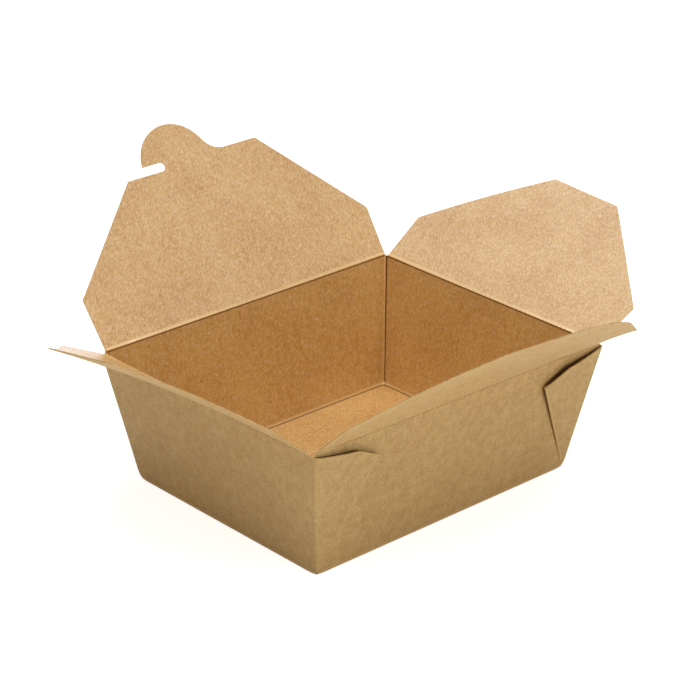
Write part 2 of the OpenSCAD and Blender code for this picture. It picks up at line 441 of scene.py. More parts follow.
def rounded_corner(before, corner, after, steps):
    """Curve (1-q)^2 before + 2q(1-q) corner + q^2 after for q from 0 to 1, along a new last-but-one axis."""
    q = np.linspace(0, 1, steps)[:, None]
    a, b, c = before[..., None, :], corner[..., None, :], after[..., None, :]
    return (1 - q) ** 2 * a + 2 * q * (1 - q) * b + q**2 * c


def folded(level, crease, slope):
    """Rows of points that run out level, round the fold at a crease and up a slope."""
    bend = np.moveaxis(rounded_corner(level[-1], crease, slope[0], FOLD_STEPS), 1, 0)
    return np.concatenate([level, bend[1:-1], slope])


def folded_out(level, crease, heights):
    """Distances of the same rows out over the flat sheet, from the middle of the base."""
    q = np.linspace(-FOLD_TANGENT, FOLD_TANGENT, FOLD_STEPS)[1:-1]
    out = np.concatenate([level, crease + q])
    return np.concatenate([np.broadcast_to(out[:, None], (len(out), heights.shape[1])), crease + heights])


def ridge(distance, height):
    """Height times exp(-(distance / width)^2): the ridge that scoring raises beside a fold."""
    return height * np.exp(-((distance / RIDGE_WIDTH) ** 2))


def marks(*bands):
    """Distance from the nearest band's middle in half widths, so 1 is a band's edge.

    Each band is given as the distance of the points from a crease and its (middle, half width).
    """
    return np.minimum.reduce([np.abs(distance - middle) / half for distance, (middle, half) in bands])


def panel(points, flat, half_in, half_out, **found):
    """A curved panel on a grid, whose right-hand normal, first axis to second, faces inside.

    Marks that aren't given are left unmarked.
    """
    values = {key: np.broadcast_to(found.get(key, UNMARKED), half_in.shape) for key in MARKS}
    return SimpleNamespace(points=points, flat=flat, half_in=half_in, half_out=half_out, **values)


def turned(p):
    """The same panel half a turn about Z."""
    spin = np.array([-1, -1, 1])
    return SimpleNamespace(**{**vars(p), "points": p.points * spin, "flat": -p.flat})


def mirrored(p):
    """The same panel in a mirror across X, its first axis turned round to keep the inner face inside."""
    flip = np.array([-1, 1, 1])
    made = SimpleNamespace(**{key: values[::-1] for key, values in vars(p).items()})
    made.points = made.points * flip
    made.flat = made.flat * flip[:2]
    return made


def thickened(p):
    """Closed board round a panel: each point moved along the normal by its half thickness, both ways.

    The normal is the cross product of the grid's two tangents. Rim faces stand on the grid's four sides.
    """
    along = np.gradient(p.points, axis=0)
    across = np.gradient(p.points, axis=1)
    normal = unit(np.cross(along, across))
    inner = p.points + normal * p.half_in[..., None]
    outer = p.points - normal * p.half_out[..., None]
    rows, cols = p.cut.shape
    number = np.arange(rows * cols).reshape(rows, cols)
    a, b, c, d = number[:-1, :-1], number[1:, :-1], number[1:, 1:], number[:-1, 1:]
    cells = np.stack([a, b, c, d], -1).reshape(-1, 4)
    loop = np.concatenate([number[:, 0], number[-1, 1:], number[-2::-1, -1], number[0, -2:0:-1]])
    ahead = np.roll(loop, -1)
    back = rows * cols
    rim = np.stack([loop + back, ahead + back, ahead, loop], -1)
    faces = np.concatenate([cells, cells[:, ::-1] + back, rim])
    kinds = np.concatenate(
        [
            np.full(len(cells), INSIDE_FACE),
            np.full(len(cells), OUTSIDE_FACE),
            np.full(len(rim), CUT_FACE),
        ]
    )
    return SimpleNamespace(
        points=np.concatenate([inner.reshape(-1, 3), outer.reshape(-1, 3)]),
        faces=faces,
        kinds=kinds,
        flat=np.tile(p.flat.reshape(-1, 2), (2, 1)),
        marks={key: np.tile(getattr(p, key).ravel(), 2) for key in MARKS},
    )


def joined(solids):
    """Several closed boards as one set of arrays, with the point numbers moved past those before them."""
    counts = [len(s.points) for s in solids]
    starts = np.concatenate([[0], np.cumsum(counts)[:-1]])
    return SimpleNamespace(
        points=np.concatenate([s.points for s in solids]),
        faces=np.concatenate([s.faces + start for s, start in zip(solids, starts)]),
        kinds=np.concatenate([s.kinds for s in solids]),
        flat=np.concatenate([s.flat for s in solids]),
        marks={key: np.concatenate([s.marks[key] for s in solids]) for key in MARKS},
    )


def board_object(name, solid, materials):
    """Mesh object from arrays in millimetres, with the UV map "flat" and the marks as attributes.

    "flat" is the place on the unfolded sheet in metres. "pale" and "dark" are below 1 inside the marks
    painted along the folds, the pale ones partly scored board and partly painted highlight and the dark ones
    painted shade. The third mark is the distance outside the painted shadow that a web casts on the wall,
    and "cut" the distance to the nearest cut edge, both in millimetres.
    """
    mesh = bpy.data.meshes.new(name)
    mesh.from_pydata((solid.points * MM).tolist(), [], solid.faces.tolist())
    for material in materials:
        mesh.materials.append(material)
    mesh.polygons.foreach_set("material_index", solid.kinds.astype(np.int32))
    corner = np.empty(len(mesh.loops), np.int32)
    mesh.loops.foreach_get("vertex_index", corner)
    flat = mesh.uv_layers.new(name="flat")
    flat.data.foreach_set("uv", (solid.flat[corner] * MM).ravel())
    for key, values in solid.marks.items():
        attribute = mesh.attributes.new(key, "FLOAT", "POINT")
        attribute.data.foreach_set("value", values.astype(np.float32))
    mesh.shade_smooth()
    mesh.set_sharp_from_angle(angle=math.radians(SHARP_ANGLE))
    # An open boundary stays sharp, so that the rim that Solidify adds there is shaded flat
    edge = np.empty(len(mesh.loops), np.int32)
    mesh.loops.foreach_get("edge_index", edge)
    sharp = np.empty(len(mesh.edges), bool)
    mesh.edges.foreach_get("use_edge_sharp", sharp)
    mesh.edges.foreach_set("use_edge_sharp", sharp | (np.bincount(edge, minlength=len(sharp)) == 1))
    mesh.update()
    made = bpy.data.objects.new(name, mesh)
    bpy.context.scene.collection.objects.link(made)
    return made


def hook_wall_place(m, x, v, w):
    """Point of the rear wall: x along it, v up its slope and w outwards from the middle of its board."""
    y = m.half_w + v * math.sin(m.hook_lean) + w * math.cos(m.hook_lean)
    z = m.mid + v * math.cos(m.hook_lean) - w * math.sin(m.hook_lean)
    return np.stack(np.broadcast_arrays(x, y, z), -1)


def end_wall_place(m, y, v):
    """Point of the right wall: y along it and v up its slope, on the middle of its board."""
    x = m.half_l + v * math.sin(m.end_lean)
    z = m.mid + v * math.cos(m.end_lean)
    return np.stack(np.broadcast_arrays(x, y, z), -1)


def end_wall_half(m, v):
    """Half width of an end wall at slope height v: it leans out with the corner edges and over the webs."""
    stack = 2 * m.layer / math.cos(m.hook_lean)
    return m.half_w + v * m.end_run + stack * v / m.end_slant


def corner_tangent(v):
    """Length of board that the corner fold takes up at slope height v, from nothing at the foot."""
    return np.minimum(FOLD_TANGENT, CORNER_TAKE * v)


def web_ray(m, angle):
    """Direction in a wall's plane, inwards and up, at an angle from the web's corner edge."""
    turn = angle - m.edge_angle
    return np.stack([np.sin(turn), np.cos(turn)], -1)


def web_knots(m):
    """Corners of a web's top edge in its wall's plane: at the corner edge, the bend and the diagonal."""
    angles = np.array([0, m.bend_angle, m.web_angle])
    return web_ray(m, angles) * np.array([m.corner_reach, m.bend_reach, m.fold_reach])[:, None]


def outside_web(m, places):
    """Distance of places in a wall's plane outside the shade of its web, less than nothing inside.

    It is the greatest of those from the top edge's two parts and from the diagonal, each moved by WEB_SHADE.
    """
    knots = np.concatenate([web_knots(m), [[0, 0]]])
    along = unit(np.diff(knots, axis=0))
    outwards = np.stack([-along[:, 1], along[:, 0]], -1)
    return (((places[..., None, :] - knots[:-1]) * outwards).sum(-1) - WEB_SHADE).max(-1)


def half_trough(m):
    """Half of the base, a rounded crease and the rear wall, whose side edges curl outwards into the webs.

    Across, x runs from side to side as a share of the row's half width, and past it follows a half circle
    that turns outwards. Along, the row runs out over the base, round the fold and up the slope of the wall.
    """
    top = m.hook_slant - WALL_TOP_GAP
    nub = m.hook_slant - m.corner_drop
    shelf = m.hook_hinge_half + HINGE_SHELF
    half_base = m.half_l - FOOT_STRIP

    def flat_half(v):
        return m.half_l + v * m.hook_run - m.wall_inset * v / nub

    share = side_shares(flat_half(top))
    turn = np.linspace(0, np.pi, CURL_STEPS)[1:]
    # Columns: left curl, flat, right curl
    c = np.concatenate([np.full(len(turn), -1.0), share, np.full(len(turn), 1.0)])
    a = np.concatenate([turn[::-1], np.zeros(len(share)), turn])
    # The wall's top edge steps down to the nubs beside the hinge
    reach = np.abs(c) * flat_half(top)
    v = slope_heights(top, np.interp(reach, [shelf, flat_half(nub)], [top, nub]))
    base_y = np.concatenate([[0.0], half_stations(m.half_w - FOLD_TANGENT)])

    def level_rows(half, y):
        x = c * half + np.sign(c) * SMALLEST_CURL * np.sin(a)
        z = m.mid - SMALLEST_CURL * (1 - np.cos(a))
        return np.stack(np.broadcast_arrays(x, np.reshape(y, (-1, 1)), z), -1)

    radius = np.maximum(SMALLEST_CURL, m.layer / 2 * v / nub)
    x = c * flat_half(v) + np.sign(c) * radius * np.sin(a)
    wall = hook_wall_place(m, x, v, radius * (1 - np.cos(a)))
    points = folded(level_rows(half_base, base_y), level_rows(m.half_l, m.half_w)[0], wall)
    out = folded_out(base_y, m.half_w, v)
    height = out - m.half_w
    half = np.where(height < 0, half_base, flat_half(np.maximum(height, 0)))
    flat = np.stack([c * half, out], -1)
    beside = np.where(height < 0, m.half_l - np.abs(c) * half, (1 - np.abs(c)) * half)
    # Pale bands, partly scored board and partly painted highlight, along the crease and beside the corners
    pale = marks((height, PALE_BAND), (beside, CORNER_BAND))
    # Painted shade in the groove beside the base crease and along the rim crease
    dark = marks((height, DARK_BAND), (m.hook_slant - height, RIM_BAND))
    # The curl in the corner is painted in shade, as the dark side of the corner's fold
    pale = np.where(a > 0, UNMARKED, pale)
    dark = np.where(a > 0, 0, dark)
    # Painted shadow: the wall is darkened round each web that shades it
    shadowed = outside_web(m, np.stack([m.half_l - np.abs(c) * half, height], -1))
    shut = np.where(height < 0, UNMARKED, shadowed)
    half_in = m.mid + ridge(np.abs(height), m.base_bead)
    shape = panel(points, flat, half_in, np.full_like(pale, m.mid), pale=pale, dark=dark, shut=shut)
    for key, values in vars(shape).items():
        setattr(shape, key, np.swapaxes(values, 0, 1))
    return shape


def end_panel(m):
    """An end wall with its crease and a strip of base: out over the strip, round the fold, up the slope.

    Each row runs from side to side as a share of the wall's half width, less what the corner folds take.
    """
    top = m.end_slant - WALL_TOP_GAP
    ear = (m.hook_z - m.mid - m.corner_drop) / math.cos(m.end_lean)
    shelf = m.end_hinge_half + HINGE_SHELF
    top_half = end_wall_half(m, top)
    share = side_shares(m.half_w)
    v = slope_heights(top, np.interp(np.abs(share) * top_half, [shelf, top_half], [top, min(ear, top)]))
    wall = end_wall_place(m, share * (end_wall_half(m, v) - corner_tangent(v)), v)
    strip_x = m.half_l + np.array([-FOOT_STRIP, -1.0, -FOLD_TANGENT])
    y = share * m.half_w
    strip = np.stack(np.broadcast_arrays(strip_x[:, None], y, m.mid), -1)
    crease = np.stack(np.broadcast_arrays(m.half_l, y, m.mid), -1)
    out = folded_out(strip_x, m.half_l, v)
    height = out - m.half_l
    half = end_wall_half(m, np.maximum(height, 0))
    flat = np.stack([out, share * half], -1)
    beside = (1 - np.abs(share)) * half
    # Pale band along the crease, partly scored board and partly painted highlight
    pale = marks((height, PALE_BAND))
    # Painted shade beside the crease, along the rim crease and down the wall's sides at the corners
    dark = marks((height, DARK_BAND), (m.end_slant - height, RIM_BAND), (beside, RIM_BAND))
    half_in = m.mid + ridge(np.abs(height), m.base_bead)
    half_out = np.full_like(pale, m.mid)
    return panel(folded(strip, crease, wall), flat, half_in, half_out, pale=pale, dark=dark)


def web_panel(m, spring):
    """Corner web at the right end of the rear wall: corner fold, outer layer, diagonal fold and inner layer.

    Every column is a ray from the base corner, and a row is the same share of each ray. A layer is the plane
    through the base corner that stands off the wall by its two lifts, at the corner edge and at the diagonal
    fold, and the outer one bows out by bow sin(pi s) t^3 for shares s of the angle and t of the ray. The
    diagonal fold is a half circle between the layers' rays, and the corner fold a rounded corner between the
    end wall and the outer layer.
    """
    inner_lifts = (m.layer, m.board + spring)
    outer_lifts = (2 * m.layer, m.board + spring + m.layer)
    t = WEB_SHARES
    corner = web_ray(m, 0)
    inward = np.array([math.cos(m.edge_angle), math.sin(m.edge_angle)])
    knots = web_knots(m)

    def reach(angle):
        first = np.where(angle < m.bend_angle, 0, 1)
        start = knots[first]
        run = knots[first + 1] - start
        way = web_ray(m, angle)
        return (start[:, 0] * run[:, 1] - start[:, 1] * run[:, 0]) / (
            way[:, 0] * run[:, 1] - way[:, 1] * run[:, 0]
        )

    def layer(places, lifts, bow=0.0):
        rows = np.stack([corner * m.corner_len, knots[2]])
        w = places @ np.linalg.solve(rows, np.array(lifts)) + bow
        return hook_wall_place(m, m.half_l - places[..., 0], places[..., 1], w)

    # Corner fold
    v = t * m.corner_reach * math.cos(m.edge_angle) * math.cos(m.hook_lean) / math.cos(m.end_lean)
    take = corner_tangent(v)
    edge = end_wall_half(m, v)
    after = layer(t[:, None] * corner * m.corner_reach + take[:, None] * inward, outer_lifts)
    bend = rounded_corner(end_wall_place(m, edge - take, v), end_wall_place(m, edge, v), after, FOLD_STEPS)
    # Outer layer, from just past the corner fold to the diagonal
    angles = np.linspace(0, m.web_angle, WEB_RAYS)[1:]
    bow = WEB_BOW * np.sin(np.pi * angles / m.web_angle) * t[:, None] ** 3
    outer = layer(t[:, None, None] * (web_ray(m, angles) * reach(angles)[:, None]), outer_lifts, bow)
    # Inner layer, from the diagonal back to the curled edge of the wall
    near = knots[0] + np.array([m.wall_inset, 0])
    last = math.atan2(near[0], near[1]) + m.edge_angle
    back = np.linspace(m.web_angle, last, WEB_BACK_RAYS)
    short = 1 - WEB_SHORT / m.corner_len * np.sin(np.pi * np.linspace(0, 1, len(back)) ** 0.5)
    inner = layer(t[:, None, None] * (web_ray(m, back) * (reach(back) * short)[:, None]), inner_lifts)
    # Diagonal fold
    centre = (outer[:, -1] + inner[:, 0]) / 2
    arm = (outer[:, -1] - inner[:, 0]) / 2
    turn = m.web_angle - m.edge_angle
    away = unit(hook_wall_place(m, -math.cos(turn), -math.sin(turn), 0) - hook_wall_place(m, 0, 0, 0))
    swing = np.linspace(0, np.pi, CURL_STEPS)[1:-1][:, None]
    size = np.linalg.norm(arm, axis=-1)[:, None, None]
    fold_curve = centre[:, None] + np.cos(swing) * arm[:, None] + np.sin(swing) * size * away
    points = np.concatenate([bend, outer, fold_curve, inner], 1)
    # Places on the unfolded sheet: the same rays, fanned about the base corner
    counts = (FOLD_STEPS, len(angles), CURL_STEPS - 2, len(back))
    fanned = (0, angles, m.web_angle, 2 * m.web_angle - back)
    lengths = (m.corner_reach, reach(angles), m.fold_reach, reach(back))
    spread = np.concatenate([np.broadcast_to(part, n) for part, n in zip(fanned, counts)])
    long = np.concatenate([np.broadcast_to(part, n) for part, n in zip(lengths, counts)])
    fan = math.atan(m.end_run) + spread
    radius = t[:, None] * long
    flat = np.array([m.half_l, m.half_w]) + radius[..., None] * np.stack([np.cos(fan), np.sin(fan)], -1)
    flat[:, :FOLD_STEPS, 1] += np.linspace(-1, 0, FOLD_STEPS) * take[:, None]
    # Pale band along the diagonal fold, partly scored board and partly painted highlight
    pale = marks((radius * np.sin(m.web_angle - spread), DIAGONAL_BAND))
    # Painted shade: the faces hidden between the two layers are dark, and so is the inner layer's cut edge
    dark = np.where(spread > m.web_angle, 0, SHADED)
    half = np.full_like(pale, m.mid)
    return panel(points, flat, half, half, pale=pale, dark=dark, cut=(1 - t[:, None]) * long)


def racked(m, points):
    """Points with the rim sprung out of level: z gains the rack times the shares of x, y and height."""
    x = np.clip(points[..., 0] / m.end_x, -1, 1)
    y = np.clip(points[..., 1] / m.hook_y, -1, 1)
    z = np.clip(points[..., 2] / m.hook_z, 0, 1)
    return points + np.stack([0 * x, 0 * y, m.rack * x * y * z], -1)


def foot_rounded(m, points):
    """Points with the base's corners rounded.

    The shares p and q of a corner's square become p sqrt(1 - q^2/2) and q sqrt(1 - p^2/2). The change fades
    with height as exp(-z / (FOOT_FADE radius)).
    """
    x, y, z = (points[..., i] for i in range(3))
    radius = m.corner_round
    wall_x = m.half_l + z * math.tan(m.end_lean)
    wall_y = m.half_w + z * math.tan(m.hook_lean)
    p = np.clip((np.abs(x) - wall_x) / radius + 1, 0, None)
    q = np.clip((np.abs(y) - wall_y) / radius + 1, 0, None)
    fade = radius * np.exp(-np.clip(z, 0, None) / (FOOT_FADE * radius))
    in_x = p * (1 - np.sqrt(np.clip(1 - q**2 / 2, FOOT_LEAST, 1))) * fade
    in_y = q * (1 - np.sqrt(np.clip(1 - p**2 / 2, FOOT_LEAST, 1))) * fade
    return points - np.stack([np.sign(x) * in_x, np.sign(y) * in_y, 0 * z], -1)


def arc(centre, radius, start, stop, steps):
    """Points centre + radius (cos, sin) of angles from start to stop."""
    turn = np.linspace(start, stop, steps)
    return np.array(centre) + radius * np.stack([np.cos(turn), np.sin(turn)], -1)


def eased(before, corner, after, length):
    """A corner cut back by length on both sides and rounded between."""
    before, corner, after = (np.array(place, float) for place in (before, corner, after))
    start = corner + unit(before - corner) * length
    stop = corner + unit(after - corner) * length
    return rounded_corner(start, corner, stop, EASE_STEPS)


def paced(outline, step):
    """The closed outline with its long edges divided into equal parts no longer than step."""
    ahead = np.roll(outline, -1, 0) - outline
    parts = np.maximum(1, np.ceil(np.linalg.norm(ahead, axis=1) / step)).astype(int)
    edge = np.repeat(np.arange(len(outline)), parts)
    start = np.repeat(np.cumsum(parts) - parts, parts)
    share = (np.arange(parts.sum()) - start) / parts[edge]
    return outline[edge] + share[:, None] * ahead[edge]


def distance_to_edges(points, starts, stops):
    """Distance of each point to the nearest of the straight edges from starts to stops."""
    run = stops - starts
    to = points[:, None] - starts
    along = np.clip((to * run).sum(-1) / np.maximum((run * run).sum(-1), TINY), 0, 1)
    return np.linalg.norm(to - along[..., None] * run, axis=-1).min(1)


def within(points, outline):
    """True for points inside the outline: a ray along +u crosses it an odd number of times."""
    a = outline
    b = np.roll(outline, -1, 0)
    level = points[:, 1:2]
    spans = (a[:, 1] > level) != (b[:, 1] > level)
    rise = np.where(a[:, 1] == b[:, 1], TINY, b[:, 1] - a[:, 1])
    crossing = a[:, 0] + (level - a[:, 1]) * (b[:, 0] - a[:, 0]) / rise
    return (spans & (points[:, 0:1] < crossing)).sum(1) % 2 == 1


def hinge_levels(m):
    """Distances from the crease's axis at which a flap's bead is drawn."""
    return m.bead * np.array(BEAD_LEVELS)


def side_points(m, foot, shoulder):
    """Points up the side of a flap at the bead's levels, from below the crease."""
    levels = hinge_levels(m)
    share = (levels - levels[0]) / (shoulder[1] - levels[0])
    return np.array(foot) + share[:, None] * (np.array(shoulder) - np.array(foot))


def flap_outline(m, hinge_half, side_half, shoulder, edge):
    """Outline of a flap: up its right side, along the pieces of its outer edge and down its left side.

    The edge's first and last pieces give the directions in which the sides' corners are rounded off.
    """
    sides = []
    for way, beyond in ((1, edge[0][0]), (-1, edge[-1][-1])):
        foot = (way * hinge_half, -m.bead)
        corner = (way * side_half, shoulder)
        sides.append((side_points(m, foot, corner), eased(foot, corner, beyond, SHOULDER_EASE)))
    (right, right_round), (left, left_round) = sides
    return np.concatenate([right, right_round, *edge, left_round[::-1], left[::-1]])


def hook_outline(m, f):
    """Outline of a hook flap, whose outer edge has a long half, a hollow, the round hook and a slot."""
    edge_half = f.hook_edge_half / MM
    shoulder = f.hook_shoulder / MM
    edge_v = m.hook_y
    long_v = m.hook_y + f.hook_overlap / MM
    hook_r = f.hook_radius / MM
    hollow_r = f.hollow_radius / MM
    slot_r = f.slot_width / MM / 2
    hook = (-f.hook_offset / MM, m.hook_y + f.hook_rise / MM)
    hollow_v = long_v + hollow_r
    meet = math.asin((hollow_v - hook[1]) / (hook_r + hollow_r))
    hollow = (hook[0] + (hook_r + hollow_r) * math.cos(meet), hollow_v)
    slot_top = edge_v + 2 * slot_r
    mouth = math.pi - math.asin((slot_top - hook[1]) / hook_r)
    tip = np.array(hook) + hook_r * np.array([math.cos(mouth), math.sin(mouth)])
    slot_end = tip[0] + f.slot_length / MM - slot_r
    round_hook = arc(hook, hook_r, meet, mouth, HOOK_STEPS)
    side = m.hook_side_half
    edge = [
        eased((side, shoulder), (edge_half, long_v), (hollow[0], long_v), EDGE_EASE),
        arc(hollow, hollow_r, 1.5 * math.pi, math.pi + meet, SLOT_STEPS),
        round_hook[1:-1],
        eased(round_hook[-2], tip, (slot_end, slot_top), TIP_EASE),
        arc((slot_end, slot_top - slot_r), slot_r, math.pi / 2, -math.pi / 2, SLOT_STEPS),
        eased((slot_end, edge_v), (-edge_half, edge_v), (-side, shoulder), EDGE_EASE),
    ]
    return flap_outline(m, m.hook_hinge_half, side, shoulder, edge)


def end_outline(m, f):
    """Outline of an end flap: straight sides, slanted corners and a straight outer edge."""
    side = m.end_hinge_half
    shoulder = f.end_shoulder / MM
    depth = m.end_x - f.end_gap / MM / 2
    half = f.end_edge_half / MM
    edge = [
        eased((side, shoulder), (half, depth), (-half, depth), EDGE_EASE),
        eased((half, depth), (-half, depth), (-side, shoulder), EDGE_EASE),
    ]
    return flap_outline(m, side, side, shoulder, edge)


def filled(m, outline):
    """Places and triangles that fill a flap: its outline, rows along the crease and a staggered lattice."""
    hinge_half = outline[0, 0]
    levels = hinge_levels(m)[1:]
    count = int(2 * hinge_half / GRID_STEP)
    u = np.linspace(-hinge_half, hinge_half, count + 1)[1:-1]
    hinge = np.stack(np.meshgrid(u, levels), -1).reshape(-1, 2)
    lattice_u = np.arange(-hinge_half, hinge_half, GRID_STEP)
    lattice_v = np.arange(levels[-1] + LATTICE_START, outline[:, 1].max(), GRID_STEP * LATTICE_RISE)
    lattice = np.stack(np.meshgrid(lattice_u, lattice_v), -1)
    lattice[1::2, :, 0] += GRID_STEP / 2
    lattice = lattice.reshape(-1, 2)
    apart = distance_to_edges(lattice, outline, np.roll(outline, -1, 0))
    clear = within(lattice, outline) & (apart > EDGE_CLEAR * GRID_STEP)
    places = np.concatenate([outline, hinge, lattice[clear]])
    ring = list(range(len(outline)))
    made = delaunay_2d_cdt(places.tolist(), [], [ring], 1, 1e-6)
    return np.array(made[0]), np.array(made[2])


def stand_angles(share, v, depth, angle, bend):
    """Angle above level of the line from the crease to each point of a flap.

    It is angle + rise + twist s + sag s^2 + curl v / depth + droop p q, where s is the point's share of the
    half width and v its distance from the crease. The shares p and q rise from 0 to 1 along the hook,
    outwards from the slot and sideways from the middle.
    """
    rise, twist, sag, curl, droop = bend
    outwards = np.clip((v / depth - HOOK_FROM) / (1 - HOOK_FROM), 0, 1)
    sideways = np.clip((-share - TIP_FROM) / TIP_RUN, 0, 1)
    return angle + rise + twist * share + sag * share**2 + curl * v / depth + droop * outwards * sideways


def add_thickness(m, made, v):
    """Thickens a flap by Solidify, by its vertices' distances v from the crease.

    The half thickness is the bead's circle sqrt(r^2 - v^2) beside the crease, and half the board elsewhere.
    """
    half = np.maximum(np.sqrt(np.maximum(m.bead**2 - v**2, BEAD_LEAST)), np.where(v > 0, m.mid, 0))
    weight = np.round(half / m.bead, 3)
    group = made.vertex_groups.new(name="thickness")
    for value in np.unique(weight):
        group.add(np.flatnonzero(weight == value).tolist(), float(value), "REPLACE")
    solidify = made.modifiers.new("Board", "SOLIDIFY")
    solidify.thickness = 2 * m.bead * MM
    solidify.offset = 0
    solidify.vertex_group = group.name
    solidify.material_offset = OUTSIDE_FACE
    solidify.material_offset_rim = CUT_FACE


def flap_object(name, m, outline, crease, angle, bend, turn, flat_from, materials):
    """A flap: its outline filled with triangles, stood up and bent about its crease, and thickened."""
    outline = paced(outline, GRID_STEP)
    places, triangles = filled(m, outline)
    u, v = places[:, 0], places[:, 1]
    stand = stand_angles(u / outline[0, 0], v, outline[:, 1].max(), angle, bend)
    reach = crease[0] + v * np.cos(stand)
    height = crease[1] + v * np.sin(stand)
    spin = np.array([[math.cos(turn), math.sin(turn)], [-math.sin(turn), math.cos(turn)]])
    level = np.stack([u, reach], -1) @ spin
    free = outline[:, 1] > hinge_levels(m)[-1]
    rim = free | np.roll(free, -1)
    unmarked = np.full(len(v), UNMARKED)
    solid = SimpleNamespace(
        points=racked(m, np.concatenate([level, height[:, None]], 1)),
        faces=triangles,
        kinds=np.full(len(triangles), INSIDE_FACE),
        flat=np.stack([u, flat_from + v], -1) @ spin,
        marks={
            # Pale band along the bead, partly scored board and partly painted highlight
            "pale": marks((v, BEAD_BAND)),
            "dark": unmarked,
            "shut": unmarked,
            "cut": distance_to_edges(places, outline[rim], np.roll(outline, -1, 0)[rim]),
        },
    )
    made = board_object(name, solid, materials)
    add_thickness(m, made, v)
    return made


def linear(colour):
    """An sRGB colour, held to 1, as the linear values that a shader's socket takes, with alpha."""
    c = np.minimum(np.array(colour), 1)
    values = np.where(c <= 0.04045, c / 12.92, ((c + 0.055) / 1.055) ** 2.4)
    return (*values.tolist(), 1.0)


def feed(tree, socket, value):
    """Links an output to a socket, or sets the socket's plain value."""
    if isinstance(value, bpy.types.NodeSocket):
        tree.links.new(value, socket)
    else:
        socket.default_value = value


def add_node(tree, kind, inputs=None, **settings):
    """A node with its settings and its inputs, each fed by a plain value or another node's output."""
    made = tree.nodes.new(kind)
    for key, value in settings.items():
        setattr(made, key, value)
    for key, value in (inputs or {}).items():
        feed(tree, made.inputs[key], value)
    return made


def math_node(tree, operation, *values):
    """A Math node's output."""
    return add_node(tree, "ShaderNodeMath", dict(enumerate(values)), operation=operation).outputs[0]


def ramp(tree, value, span, to_low=0.0, to_high=1.0):
    """A value taken smoothly from a span (low, high) into to_low to to_high, and held outside it."""
    ends = {"Value": value, "From Min": span[0], "From Max": span[1], "To Min": to_low, "To Max": to_high}
    return add_node(tree, "ShaderNodeMapRange", ends, interpolation_type="SMOOTHSTEP").outputs["Result"]


def fade(tree, value, span):
    """1 below a span and 0 above it."""
    return ramp(tree, value, span, 1.0, 0.0)


def times(tree, value, factor):
    """Product of two values."""
    return math_node(tree, "MULTIPLY", value, factor)


def plus(tree, value, other):
    """Sum of two values."""
    return math_node(tree, "ADD", value, other)


def mixed(tree, factor, first, second):
    """Two colours mixed by a factor."""
    return add_node(tree, "ShaderNodeMix", {0: factor, 6: first, 7: second}, data_type="RGBA").outputs[2]


def noise(tree, place, scale, detail, roughness):
    """Flat noise between 0 and 1 at a place."""
    inputs = {"Vector": place, "Scale": scale, "Detail": detail, "Roughness": roughness}
    return add_node(tree, "ShaderNodeTexNoise", inputs, noise_dimensions="2D").outputs[0]


def group_tree(name, inputs, outputs):
    """A shader node group and its inputs' values: floats at their defaults, or a vector where it is None."""
    tree = bpy.data.node_groups.new(name, "ShaderNodeTree")
    for title, default in inputs.items():
        kind = "NodeSocketVector" if default is None else "NodeSocketFloat"
        socket = tree.interface.new_socket(name=title, in_out="INPUT", socket_type=kind)
        if default is not None:
            socket.default_value = default
    for title in outputs:
        tree.interface.new_socket(name=title, in_out="OUTPUT", socket_type="NodeSocketFloat")
    source = add_node(tree, "NodeGroupInput")
    return tree, [source.outputs[title] for title in inputs]


def pulp_group():
    """Pulp of the board: short streaks of fibre, clouds, broad patches, pale flecks and rare dark specks.

    Most fibres lie within about 25 degrees of one direction of the sheet, and a few lie across it.
    """
    inputs = {"Sheet": None, "Fibre Length": 0.0014, "Fibre Width": 0.0004, "Cloud Size": 0.005}
    outputs = ("Streaks", "Clouds", "Patches", "Flecks", "Specks")
    tree, (sheet, length, width, cloud) = group_tree("Board pulp", inputs, outputs)

    def fibres(angle, size, detail):
        along = times(tree, length, size)
        across = times(tree, width, size)
        scale = add_node(tree, "ShaderNodeCombineXYZ", {"X": along, "Y": across, "Z": 1.0})
        places = {
            "Vector": sheet,
            "Location": (FIBRE_SHIFT[0] * angle, FIBRE_SHIFT[1] * size, 0),
            "Rotation": (0, 0, math.radians(angle)),
            "Scale": scale.outputs[0],
        }
        laid = add_node(tree, "ShaderNodeMapping", places, vector_type="TEXTURE")
        return noise(tree, laid.outputs[0], scale=1.0, detail=detail, roughness=0.5)

    def patchy(size, detail):
        return noise(tree, sheet, scale=math_node(tree, "DIVIDE", 1.0, size), detail=detail, roughness=0.7)

    streaks = fibres(*STREAK_FIBRES[0], detail=1.0)
    for angle, size in STREAK_FIBRES[1:]:
        streaks = plus(tree, streaks, fibres(angle, size, detail=1.0))
    streaks = math_node(tree, "DIVIDE", streaks, len(STREAK_FIBRES))
    highest = math_node(tree, "MAXIMUM", *(fibres(angle, size, detail=0.0) for angle, size in FLECK_FIBRES))
    grid = {"Vector": sheet, "Scale": SPECK_CELLS, "Randomness": 1.0}
    cells = add_node(tree, "ShaderNodeTexVoronoi", grid, voronoi_dimensions="2D").outputs
    # A speck is the heart of a cell, and only the few cells whose colour is high enough have one
    chance = add_node(tree, "ShaderNodeSeparateColor", {"Color": cells["Color"]}).outputs[0]
    masks = {
        "Streaks": streaks,
        "Clouds": patchy(cloud, detail=3.0),
        "Patches": patchy(times(tree, cloud, PATCH_SIZE), detail=1.0),
        "Flecks": ramp(tree, highest, FLECK_SPAN),
        "Specks": times(tree, fade(tree, cells["Distance"], SPECK_HEART), ramp(tree, chance, SPECK_CHANCE)),
    }
    add_node(tree, "NodeGroupOutput", masks)
    return tree


